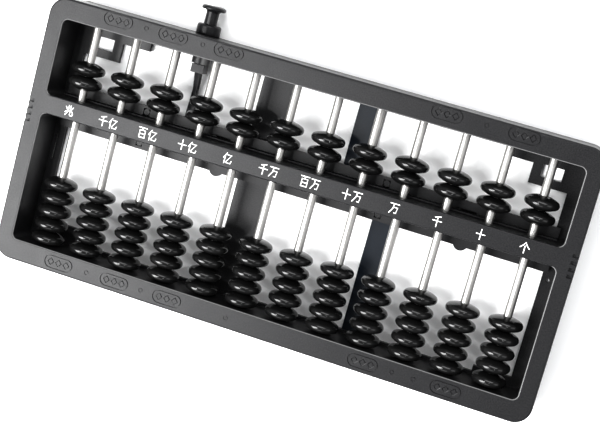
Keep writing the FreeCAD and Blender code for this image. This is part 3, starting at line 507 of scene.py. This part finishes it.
def make_row_tree():
    tree, inputs, output = new_tree("repeat_in_rows", [
        ("Start", "Vector"), ("Columns", "Int"), ("Column Step", "Vector"), ("Rows", "Int"),
        ("Row Step", "Vector"), ("Tip", "Vector"), ("Seed", "Int"), ("Finish", "Material")])
    column, row = (tree.nodes.new("GeometryNodeMeshLine") for _ in range(2))
    grid, copies = (tree.nodes.new("GeometryNodeInstanceOnPoints") for _ in range(2))
    points = tree.nodes.new("GeometryNodeRealizeInstances")
    tip = tree.nodes.new("FunctionNodeRandomValue")
    tip.data_type = "FLOAT_VECTOR"
    back_tip = tree.nodes.new("ShaderNodeVectorMath")
    back_tip.operation = "SCALE"
    back_tip.inputs["Scale"].default_value = -1
    wire = tree.links.new
    wire(inputs.outputs["Columns"], column.inputs["Count"])
    wire(inputs.outputs["Start"], column.inputs["Start Location"])
    wire(inputs.outputs["Column Step"], column.inputs["Offset"])
    wire(inputs.outputs["Rows"], row.inputs["Count"])
    wire(inputs.outputs["Row Step"], row.inputs["Offset"])
    wire(column.outputs["Mesh"], grid.inputs["Points"])
    wire(row.outputs["Mesh"], grid.inputs["Instance"])
    wire(grid.outputs["Instances"], points.inputs["Geometry"])
    wire(points.outputs["Geometry"], copies.inputs["Points"])
    wire(inputs.outputs["Geometry"], copies.inputs["Instance"])
    wire(inputs.outputs["Tip"], back_tip.inputs[0])
    wire(back_tip.outputs["Vector"], tip.inputs["Min"])
    wire(inputs.outputs["Tip"], tip.inputs["Max"])
    wire(inputs.outputs["Seed"], tip.inputs["Seed"])
    wire(tip.outputs["Value"], copies.inputs["Rotation"])
    finish_tree(tree, copies.outputs["Instances"], inputs, output)
    return tree


row_tree = make_row_tree()


def run_tree(piece, tree, **values):
    """Give the modifier its inputs by identifier, evaluate it once and keep the mesh."""
    modifier = piece.modifiers.new(tree.name, "NODES")
    modifier.node_group = tree
    for item in tree.interface.items_tree:
        key = item.name.lower().replace(" ", "_")
        if item.in_out == "INPUT" and key in values:
            modifier[item.identifier] = values[key]
    return keep_result(piece)


def repeat(piece, finish, start, columns=1, column_step=(0, 0, 0), rows=1, row_step=(0, 0, 0),
           tip=(0, 0, 0), seed=0):
    return run_tree(piece, row_tree, start=start, columns=columns, column_step=column_step, rows=rows,
                    row_step=row_step, tip=tip, seed=seed, finish=finish)


print("tree", row_tree.name, "nodes", len(row_tree.nodes))

# %% [markdown]
# ## Rods
#
# Each rod is a 4 mm drawn bar with softly rounded ends, which sit inside the rails. One outline, turned
# and repeated along the row, replaces the plain CAD cylinders.

# %% rods
rod_radius = size("rods").z / 2
rod_half = size("rods").y / 2
rod_end_round = 0.5 * MM
rod_outline = soften([(0, -rod_half), (rod_radius, -rod_half), (rod_radius, rod_half), (0, rod_half)],
                     rod_end_round)
rods = repeat(lathe("drawn_rods", rod_outline, segments=40), rod_finish,
              (rod_xs[0], middle("rods").y, rod_z), columns=rod_count, column_step=(rod_step, 0, 0))
place_on(rods, "frame", "rod_metal", "rods")

# %% [markdown]
# ## Beads
#
# A suanpan bead is a lens with a bore. Seen from the side, each face is one large arc centred on the
# rod's own line, and a small arc rounds the rim. For the two arcs to meet without a corner, the rim's
# centre must lie on the line from the face's centre to the point where they meet. That condition has
# an exact answer, worked out below, so the outline needs no trial and error.

# %% bead outline


def arc(centre, radius, start, stop, steps):
    angles = [start + (stop - start) * step / steps for step in range(steps + 1)]
    return [(centre[0] + radius * math.cos(angle), centre[1] + radius * math.sin(angle))
            for angle in angles]


face_steps, rim_steps = 10, 8
bore_lip = 0.12 * MM


def lens_outline(outer, half_thick, hub, bore, rim):
    """Closed outline of half a bead as (radius, along) points."""
    reach = outer - rim
    known = hub ** 2 + half_thick ** 2 + rim ** 2 - reach ** 2
    square = 4 * (rim ** 2 - half_thick ** 2)
    linear = 8 * rim ** 2 * half_thick - 4 * known * half_thick
    constant = 4 * rim ** 2 * (hub ** 2 + half_thick ** 2) - known ** 2
    root = math.sqrt(linear ** 2 - 4 * square * constant)
    deep = max((-linear + root) / (2 * square), (-linear - root) / (2 * square))
    face = math.hypot(hub, half_thick + deep)
    meet = math.atan2(deep, reach)
    near_hub = math.atan2(half_thick + deep, hub)
    low = arc((0, deep), face, -near_hub, -meet, face_steps)
    edge = arc((reach, 0), rim, -meet, meet, rim_steps)
    top = arc((0, -deep), face, meet, near_hub, face_steps)
    mouth = [(bore, bore_lip - half_thick), (bore + bore_lip, -half_thick)]
    far_mouth = [(bore + bore_lip, half_thick), (bore, half_thick - bore_lip)]
    return mouth + low + edge[1:-1] + top + far_mouth


bead_size = size("upper_bead_01_beam_side")
bead_outline = lens_outline(bead_size.x / 2, bead_size.y / 2, hub=2.8 * MM, bore=2.2 * MM,
                            rim=2.2 * MM)
beads_below = 5
bead_step = (size("lower_beads_01").y - bead_size.y) / (beads_below - 1)
print("bead outline points", len(bead_outline), "step mm", round(bead_step / MM, 3))

# %% beads, one piece for each body
bead_tip = (math.radians(0.9), math.radians(180), math.radians(0.9))


def bead_stack(node, count, seed):
    low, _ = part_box(node)
    start = (middle(node).x, low.y + bead_size.y / 2, rod_z)
    stack = repeat(lathe(f"gloss_{node}", bead_outline, closed=True), bead_finish, start, columns=count,
                   column_step=(0, bead_step, 0), tip=bead_tip, seed=seed)
    return place_on(stack, node, "bead_plastic", node)


for number in range(1, rod_count + 1):
    bead_stack(f"upper_bead_{number:02d}_beam_side", 1, 3 * number)
    bead_stack(f"upper_bead_{number:02d}_rail_side", 1, 3 * number + 1)
    bead_stack(f"lower_beads_{number:02d}", beads_below, 3 * number + 2)

# %% [markdown]
# ## The front of the frame, engraved
#
# The face carries a row of engraved marks: small panels with three lozenges, and the rings left by the
# mould's ejector pins. Engraving takes material away, so a painted line would look wrong from the side.
# We copy the CAD shell, weld its loose triangles, and cut thin grooves with a Boolean.

# %% groove cutters
groove_wide = 0.42 * MM
groove_deep = 0.45 * MM
cutter_above_face = 1.0 * MM


def stadium(half_long, half_high, steps=10):
    inner = half_long - half_high
    right_end = arc((inner, 0), half_high, -math.pi / 2, math.pi / 2, steps)
    left_end = arc((-inner, 0), half_high, math.pi / 2, 3 * math.pi / 2, steps)
    return right_end + left_end


def lozenge(half_long, half_high):
    return [(half_long, 0), (0, half_high), (-half_long, 0), (0, -half_high)]


def circle(radius, steps=16):
    return arc((0, 0), radius, 0, 2 * math.pi, steps)[:-1]


def add_groove(shape, x, y, outer, inner):
    """A closed channel between two loops of equal length, from below the face to just above it."""
    levels = (face_z - groove_deep, face_z + cutter_above_face)
    loops = [[[shape.verts.new((x + px, y + py, z)) for px, py in loop] for z in levels]
             for loop in (outer, inner)]
    (outer_low, outer_top), (inner_low, inner_top) = loops
    count = len(outer_low)
    for a, b in ((outer_low, outer_top), (outer_top, inner_top), (inner_top, inner_low),
                 (inner_low, outer_low)):
        for step in range(count):
            after = (step + 1) % count
            shape.faces.new((a[step], a[after], b[after], b[step]))


# Where the marks stand along each rail, in rod steps from the middle of the frame.
panel_pitches_top = (-4.9, -3.53, -2.16, 3.0, 4.75)
panel_pitches_low = (-4.93, -3.48, -2.13, 2.7, 4.66)
pin_mark_pitches_top = (-4.2, -2.8, 3.9)
pin_mark_pitches_low = (-4.2, -2.8, -0.65, 3.4, 3.9)
rail_top_y = (frame_high.y + upper_deck_top) / 2 - 2.4 * MM
rail_low_y = frame_low.y + 5.2 * MM
panel_half_long = 7.2 * MM
panel_half_high = 3.0 * MM
lozenge_half_long = 1.5 * MM
lozenge_half_high = 1.7 * MM
lozenge_step = 4.0 * MM
pin_mark_radius = 0.95 * MM


def mark_grooves():
    shape = bmesh.new()
    half = groove_wide / 2
    for y, panels, pins in ((rail_top_y, panel_pitches_top, pin_mark_pitches_top),
                            (rail_low_y, panel_pitches_low, pin_mark_pitches_low)):
        for pitches in panels:
            x = frame_x + pitches * rod_step
            add_groove(shape, x, y, stadium(panel_half_long + half, panel_half_high + half),
                       stadium(panel_half_long - half, panel_half_high - half))
            for place in (-1, 0, 1):
                add_groove(shape, x + place * lozenge_step, y,
                           lozenge(lozenge_half_long + half, lozenge_half_high + half),
                           lozenge(lozenge_half_long - half, lozenge_half_high - half))
        for pitches in pins:
            x = frame_x + pitches * rod_step
            add_groove(shape, x, y, circle(pin_mark_radius + half / 2), circle(pin_mark_radius - half / 2))
    bmesh.ops.recalc_face_normals(shape, faces=shape.faces)
    mesh = bpy.data.meshes.new("grooves")
    shape.to_mesh(mesh)
    shape.free()
    return put_in_scene("grooves", mesh)


# %% [markdown]
# CAD pieces arrive as loose triangles. A copy of one can be welded, its flat faces rejoined, and its
# sharp edges broken with a small bevel, which is what makes moulded plastic catch the light. The
# weighted normals keep the large faces flat. We use the same recipe for every carried-over part.

# %% copies of CAD pieces with broken edges


weld_distance = 0.002 * MM
flat_limit = math.radians(1.0)
bevel_from_angle = math.radians(40)
sharp_from_degrees = 30


def welded_copy(node, name, finish):
    """A copy of a CAD node's mesh with its doubles merged and its flat faces rejoined."""
    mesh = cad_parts[node].data.copy()
    shape = bmesh.new()
    shape.from_mesh(mesh)
    bmesh.ops.remove_doubles(shape, verts=shape.verts, dist=weld_distance)
    bmesh.ops.dissolve_limit(shape, angle_limit=flat_limit, verts=shape.verts, edges=shape.edges)
    shape.to_mesh(mesh)
    shape.free()
    mesh.materials.clear()
    mesh.materials.append(finish)
    smooth_shade(mesh, sharp_from_degrees)
    return put_in_scene(name, mesh)


def shade_flat_faces(piece):
    """Keep the large faces flat, so that only the broken edges turn the light."""
    smooth_shade(piece.data, sharp_from_degrees)
    weighted = piece.modifiers.new("flat_faces", "WEIGHTED_NORMAL")
    weighted.keep_sharp = True


def break_edges(piece, width):
    bevel = piece.modifiers.new("broken_edges", "BEVEL")
    bevel.width = width
    bevel.segments = 2
    bevel.limit_method = "ANGLE"
    bevel.angle_limit = bevel_from_angle
    bevel.use_clamp_overlap = True
    keep_result(piece)
    shade_flat_faces(piece)


# %% front frame
shell = welded_copy("front_frame", "engraved_front_frame", frame_finish)
grooves = mark_grooves()
cut = shell.modifiers.new("engraving", "BOOLEAN")
cut.object = grooves
cut.operation = "DIFFERENCE"
cut.solver = "EXACT"
keep_result(shell)
bpy.data.objects.remove(grooves)
shade_flat_faces(shell)
place_on(shell, "frame", "frame_plastic", "front_frame")

# %% the other moulded pieces
# Each row: CAD node, name of the piece, finish, slot, body, width of the broken edge in mm.
MOULDED_PIECES = (
    ("back_frame", "back_tray", frame_finish, "frame_plastic", "frame", 0.15),
    ("wide_strap", "wide_back_strap", frame_finish, "frame_plastic", "frame", 0.15),
    ("upper_strap", "upper_back_strap", strap_finish, "strap_plastic", "frame", 0.15),
    ("lower_strap", "lower_back_strap", strap_finish, "strap_plastic", "frame", 0.15),
    ("upper_reset_bar", "upper_bar_plate", bar_finish, "bar_plastic", "upper_reset_bar", 0.1),
    ("upper_push_strip", "upper_bar_strip", bar_finish, "button_plastic", "upper_reset_bar", 0.12),
    ("lower_reset_bar", "lower_bar_plate", bar_finish, "bar_plastic", "reset_button", 0.1),
    ("lower_push_strip", "lower_bar_strip", bar_finish, "button_plastic", "reset_button", 0.12),
    ("push_arm", "tapered_push_arm", button_finish, "button_plastic", "reset_button", 0.12),
    ("pinion_left", "left_pinion", gear_finish, "gear_plastic", "pinion_left", 0.06),
    ("pinion_right", "right_pinion", gear_finish, "gear_plastic", "pinion_right", 0.06),
)
for node, name, finish, slot, body, edge_width in MOULDED_PIECES:
    moulding = welded_copy(node, name, finish)
    break_edges(moulding, edge_width * MM)
    place_on(moulding, body, slot, node)

# %% [markdown]
# ## Place values on the beam
#
# The beam names the value of each rod, from ones at the right to trillions at the left, in the ordinary
# Chinese numerals that any such abacus carries. They are printed in white ink with a round-tipped
# stroke. Each sign is a few strokes on a unit square. A second node tree lays a
# flattened bead of ink along every stroke and rounds its ends.

# %% strokes of the signs
SIGNS = {
    "ten": [[(0.04, 0.52), (0.96, 0.52)], [(0.5, 0.02), (0.5, 0.98)]],
    "thousand": [[(0.8, 0.98), (0.22, 0.84)], [(0.02, 0.54), (0.98, 0.54)], [(0.5, 0.9), (0.5, 0.0)]],
    "hundred": [[(0.02, 0.97), (0.98, 0.97)], [(0.54, 0.95), (0.42, 0.73)],
                [(0.18, 0.02), (0.18, 0.72), (0.82, 0.72), (0.82, 0.02)], [(0.18, 0.38), (0.82, 0.38)],
                [(0.18, 0.04), (0.82, 0.04)]],
    "ten_thousand": [[(0.02, 0.93), (0.98, 0.93)], [(0.42, 0.93), (0.38, 0.5), (0.05, 0.02)],
                     [(0.4, 0.6), (0.86, 0.6), (0.78, 0.08), (0.58, 0.1)]],
    "hundred_million": [[(0.34, 0.98), (0.04, 0.5)], [(0.2, 0.7), (0.2, 0.0)],
                        [(0.44, 0.82), (0.9, 0.82), (0.42, 0.2), (0.46, 0.06), (0.9, 0.06), (0.97, 0.28)]],
    "trillion": [[(0.4, 0.98), (0.39, 0.4), (0.1, 0.02)],
                 [(0.62, 0.98), (0.62, 0.12), (0.72, 0.03), (0.94, 0.05), (0.97, 0.26)],
                 [(0.08, 0.82), (0.25, 0.62)], [(0.04, 0.3), (0.29, 0.48)],
                 [(0.93, 0.85), (0.75, 0.62)], [(0.72, 0.5), (0.93, 0.35)]],
    "one": [[(0.02, 0.48), (0.3, 0.72), (0.5, 0.98), (0.7, 0.72), (0.98, 0.48)], [(0.5, 0.66), (0.5, 0.0)]],
}
PLACE_VALUES = (("trillion",), ("thousand", "hundred_million"), ("hundred", "hundred_million"),
                ("ten", "hundred_million"), ("hundred_million",), ("thousand", "ten_thousand"),
                ("hundred", "ten_thousand"), ("ten", "ten_thousand"), ("ten_thousand",), ("thousand",),
                ("ten",), ("one",))
sign_high = 5.0 * MM
sign_wide = 4.3 * MM
sign_gap = 0.9 * MM
sign_left = 1.3 * MM


def stroke_lines():
    """All strokes as mesh edges in the plane Z = 0, centred just left of each rod."""
    points, edges = [], []
    for rod_x, signs in zip(rod_xs, PLACE_VALUES):
        width = len(signs) * sign_wide + (len(signs) - 1) * sign_gap
        for place, sign in enumerate(signs):
            left = rod_x - sign_left - width / 2 + place * (sign_wide + sign_gap)
            for stroke in SIGNS[sign]:
                for step, (u, v) in enumerate(stroke):
                    points.append((left + u * sign_wide, beam_y + (v - 0.5) * sign_high, 0))
                    if step:
                        edges.append((len(points) - 2, len(points) - 1))
    mesh = bpy.data.meshes.new("place_values")
    mesh.from_pydata(points, edges, [])
    return put_in_scene("place_values", mesh)


# %% the ink tree


def make_ink_tree():
    tree, inputs, output = new_tree("ink_along_strokes", [
        ("Half Width", "Float"), ("Flatness", "Float"), ("Height", "Float"), ("Finish", "Material")])
    path = tree.nodes.new("GeometryNodeMeshToCurve")
    section = tree.nodes.new("GeometryNodeCurvePrimitiveCircle")
    section.inputs["Resolution"].default_value = 10
    tube = tree.nodes.new("GeometryNodeCurveToMesh")
    tube.inputs["Fill Caps"].default_value = True
    tip = tree.nodes.new("GeometryNodeMeshUVSphere")
    tip.inputs["Segments"].default_value = 10
    tip.inputs["Rings"].default_value = 6
    tips = tree.nodes.new("GeometryNodeInstanceOnPoints")
    joined = tree.nodes.new("GeometryNodeJoinGeometry")
    real = tree.nodes.new("GeometryNodeRealizeInstances")
    flat = tree.nodes.new("GeometryNodeTransform")
    scale, lift = (tree.nodes.new("ShaderNodeCombineXYZ") for _ in range(2))
    scale.inputs["X"].default_value = 1
    scale.inputs["Y"].default_value = 1
    wire = tree.links.new
    wire(inputs.outputs["Geometry"], path.inputs["Mesh"])
    wire(inputs.outputs["Half Width"], section.inputs["Radius"])
    wire(path.outputs["Curve"], tube.inputs["Curve"])
    wire(section.outputs["Curve"], tube.inputs["Profile Curve"])
    wire(inputs.outputs["Half Width"], tip.inputs["Radius"])
    wire(inputs.outputs["Geometry"], tips.inputs["Points"])
    wire(tip.outputs["Mesh"], tips.inputs["Instance"])
    wire(tube.outputs["Mesh"], joined.inputs["Geometry"])
    wire(tips.outputs["Instances"], joined.inputs["Geometry"])
    wire(joined.outputs["Geometry"], real.inputs["Geometry"])
    wire(inputs.outputs["Flatness"], scale.inputs["Z"])
    wire(inputs.outputs["Height"], lift.inputs["Z"])
    wire(real.outputs["Geometry"], flat.inputs["Geometry"])
    wire(scale.outputs["Vector"], flat.inputs["Scale"])
    wire(lift.outputs["Vector"], flat.inputs["Translation"])
    finish_tree(tree, flat.outputs["Geometry"], inputs, output)
    return tree


place_values = run_tree(stroke_lines(), make_ink_tree(), half_width=0.22 * MM, flatness=0.16,
                        height=face_z, finish=ink_finish)
smooth_shade(place_values.data, 50)
place_on(place_values, "frame", "gear_plastic")

# %% [markdown]
# ## Button, collar and spring
#
# The button is one moulding: a thin cap on a stem, with a flange that keeps it from falling out and a
# thin guide for the spring. It is turned from one outline. The collar that guides it is pressed into
# the rail. The spring is a helix, which a third node tree winds from its turns and length.

# %% button
button_low, button_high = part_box("reset_button")
button_x = middle("reset_button").x
button_z = middle("reset_button").z
rail_outside = frame_high.y
rail_wall = 2.2 * MM
rail_inside = rail_outside - rail_wall
head_radius = size("reset_button").x / 2
stem_radius = 3.09 * MM
flange_radius = 3.59 * MM
guide_radius = 2.2 * MM
flange_low = rail_inside - 1.05 * MM
flange_top = flange_low + 1.0 * MM
cap_thick = 2.1 * MM


def turned(name, outline, finish, body, slot, node):
    """A part turned round the button's line, from (radius, y) points."""
    piece = repeat(lathe(name, outline, segments=72), finish, (button_x, 0, button_z))
    return place_on(piece, body, slot, node)


def button_outline():
    """Guide, flange, slightly waisted stem, and a thin cap whose rim rolls back towards the stem."""
    crown = button_high.y
    under = crown - cap_thick
    guide = soften([(0, button_low.y), (guide_radius, button_low.y), (guide_radius, flange_low)], 0.25 * MM)
    flange = soften([(guide_radius, flange_low), (flange_radius, flange_low), (flange_radius, flange_top),
                     (stem_radius, flange_top)], 0.2 * MM)
    cap = soften([(stem_radius, flange_top), (stem_radius, under - 1.0 * MM),
                  (stem_radius + 0.9 * MM, under), (head_radius - 0.7 * MM, under - 0.25 * MM),
                  (head_radius, under + 0.1 * MM), (head_radius, crown - 0.7 * MM),
                  (head_radius - 1.2 * MM, crown - 0.1 * MM), (0, crown)], 0.6 * MM)
    return guide + flange[1:] + cap[1:]


turned("capped_button", button_outline(), button_finish, "reset_button", "button_plastic", "reset_button")

# %% collar
collar_low, collar_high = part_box("button_collar")


def collar_outline():
    """Closed outline: a wide ring outside the rail, a narrower spigot through the wall, and the bore."""
    outer = size("button_collar").x / 2
    spigot = 4.2 * MM
    bore = stem_radius + 0.1 * MM
    shoulder = rail_outside + 0.02 * MM
    mouth_start = (outer, shoulder + 1.5 * MM)
    outside = soften([(bore, collar_low.y), (spigot, collar_low.y), (spigot, shoulder), (outer, shoulder),
                      mouth_start], 0.15 * MM)
    mouth = soften([mouth_start, (outer, collar_high.y), (bore, collar_high.y),
                    (bore, collar_high.y - 1.2 * MM)], 1.1 * MM, steps=6)
    return outside[:-2] + mouth + [Vector((bore, collar_low.y + 0.3 * MM))]


collar = lathe("button_collar_ring", collar_outline(), segments=72, closed=True)
collar = repeat(collar, button_finish, (button_x, 0, button_z))
place_on(collar, "frame", "button_plastic", "button_collar")

# %% [markdown]
# ## The return spring
#
# The spring is a helix of steel wire. A curve bevelled by hand would need hundreds of points. The Spiral
# node winds it from its turns, radius and length, and Curve to Mesh sweeps a round wire along it.

# %% the spring tree
points_per_turn = 40


def make_spring_tree():
    tree, inputs, output = new_tree("wind_spring", [
        ("Turns", "Float"), ("Radius", "Float"), ("Length", "Float"), ("Wire Radius", "Float"),
        ("Place", "Vector"), ("Finish", "Material")])
    spiral = tree.nodes.new("GeometryNodeCurveSpiral")
    spiral.inputs["Resolution"].default_value = points_per_turn
    section = tree.nodes.new("GeometryNodeCurvePrimitiveCircle")
    section.inputs["Resolution"].default_value = 14
    wire_mesh = tree.nodes.new("GeometryNodeCurveToMesh")
    wire_mesh.inputs["Fill Caps"].default_value = True
    turn = tree.nodes.new("GeometryNodeTransform")
    turn.inputs["Rotation"].default_value = (math.radians(-90), 0, 0)
    wire = tree.links.new
    wire(inputs.outputs["Turns"], spiral.inputs["Rotations"])
    wire(inputs.outputs["Radius"], spiral.inputs["Start Radius"])
    wire(inputs.outputs["Radius"], spiral.inputs["End Radius"])
    wire(inputs.outputs["Length"], spiral.inputs["Height"])
    wire(inputs.outputs["Wire Radius"], section.inputs["Radius"])
    wire(spiral.outputs["Curve"], wire_mesh.inputs["Curve"])
    wire(section.outputs["Curve"], wire_mesh.inputs["Profile Curve"])
    wire(wire_mesh.outputs["Mesh"], turn.inputs["Geometry"])
    wire(inputs.outputs["Place"], turn.inputs["Translation"])
    finish_tree(tree, turn.outputs["Geometry"], inputs, output)
    return tree


spring_low, spring_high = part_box("return_spring")
spring_turns = 4.0
wire_radius = 0.35 * MM
coil_radius = size("return_spring").x / 2 - wire_radius
spring_length = spring_high.y - spring_low.y - 2 * wire_radius
blank = put_in_scene("coiled_return_spring", bpy.data.meshes.new("spring"))
spring = run_tree(blank, make_spring_tree(), turns=spring_turns, radius=coil_radius,
                  length=spring_length, wire_radius=wire_radius,
                  place=(button_x, spring_low.y + wire_radius, button_z), finish=steel_finish)
smooth_shade(spring.data, 60)
place_on(spring, "frame", "screw_steel", "return_spring")
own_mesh(spring)

# %% [markdown]
# ## Screws and pins
#
# Six screws hold the back to the front. Their heads face the table, so only a view from below shows
# them: a flat head with a cross recess. The recess is cut into one screw with a Boolean, and the row
# tree then repeats it. The two pins that the pinions turn on have a low domed head.

# %% case screws
screw_low, screw_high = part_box("case_screws")
screw_head_radius = 2.2 * MM
screw_shank_radius = 1.08 * MM
screw_head_thick = 1.5 * MM
thread_pitch = 0.8 * MM
thread_deep = 0.18 * MM
screw_columns, screw_rows = 3, 2
screw_span = size("case_screws")
screw_step = (screw_span.x - 2 * screw_head_radius) / (screw_columns - 1)
screw_row_step = (screw_span.y - 2 * screw_head_radius) / (screw_rows - 1)


def threaded_outline():
    """Head downwards; the shank carries the crests of a coarse thread as a zigzag."""
    bottom = screw_low.z
    tip = screw_high.z
    under_head = bottom + screw_head_thick
    points = [(0, bottom), (screw_head_radius - 0.25 * MM, bottom), (screw_head_radius, bottom + 0.3 * MM),
              (screw_head_radius, under_head), (screw_shank_radius, under_head)]
    root = screw_shank_radius - thread_deep
    crests = int((tip - under_head - 2 * thread_pitch) / thread_pitch)
    for crest in range(crests):
        z = under_head + (crest + 0.7) * thread_pitch
        points += [(root, z), (screw_shank_radius, z + thread_pitch / 2)]
    return points + [(root, tip - thread_pitch), (0.25 * MM, tip), (0, tip)]


def cross_cutter(half_long, half_wide, z_low, z_high):
    """A plus-shaped prism, slightly narrower at its inner end, as a driver's tip is."""
    shape = bmesh.new()
    loops = []
    for z, shrink in ((z_low, 1.0), (z_high, 0.7)):
        a = half_long * shrink
        b = half_wide * shrink
        outline = [(a, b), (b, b), (b, a), (-b, a), (-b, b), (-a, b), (-a, -b), (-b, -b), (-b, -a), (b, -a),
                   (b, -b), (a, -b)]
        loops.append([shape.verts.new((x, y, z)) for x, y in outline])
    for step in range(len(loops[0])):
        after = (step + 1) % len(loops[0])
        shape.faces.new((loops[0][step], loops[0][after], loops[1][after], loops[1][step]))
    for loop in loops:
        shape.faces.new(loop)
    bmesh.ops.recalc_face_normals(shape, faces=shape.faces)
    mesh = bpy.data.meshes.new("cross")
    shape.to_mesh(mesh)
    shape.free()
    return put_in_scene("cross", mesh)


screw = lathe("cross_head_screws", threaded_outline(), axis="Z", segments=32)
cross = cross_cutter(1.4 * MM, 0.28 * MM, screw_low.z - 0.5 * MM, screw_low.z + 0.7 * MM)
recess = screw.modifiers.new("recess", "BOOLEAN")
recess.object = cross
recess.operation = "DIFFERENCE"
recess.solver = "EXACT"
keep_result(screw)
bpy.data.objects.remove(cross)
first_screw = (screw_low.x + screw_head_radius, screw_low.y + screw_head_radius, 0)
screws = repeat(screw, steel_finish, first_screw, columns=screw_columns, column_step=(screw_step, 0, 0),
                rows=screw_rows, row_step=(0, screw_row_step, 0))
smooth_shade(screws.data, 30)
place_on(screws, "frame", "screw_steel", "case_screws")

# %% pinion pins
pin_low, pin_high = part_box("pinion_pins")
pin_radius = 1.0 * MM
pin_head_radius = 1.6 * MM
pin_head_low = pin_high.z - 0.8 * MM
pin_outline = soften([(0, pin_low.z), (pin_radius, pin_low.z), (pin_radius, pin_head_low),
                      (pin_head_radius, pin_head_low), (pin_head_radius, pin_high.z - 0.25 * MM),
                      (0.8 * MM, pin_high.z), (0, pin_high.z)], 0.15 * MM)
pin_gap = size("pinion_pins").x - 2 * pin_head_radius
pins = repeat(lathe("domed_pins", pin_outline, axis="Z", segments=32), steel_finish,
              (pin_low.x + pin_head_radius, middle("pinion_pins").y, 0), columns=2,
              column_step=(pin_gap, 0, 0))
place_on(pins, "frame", "screw_steel", "pinion_pins")
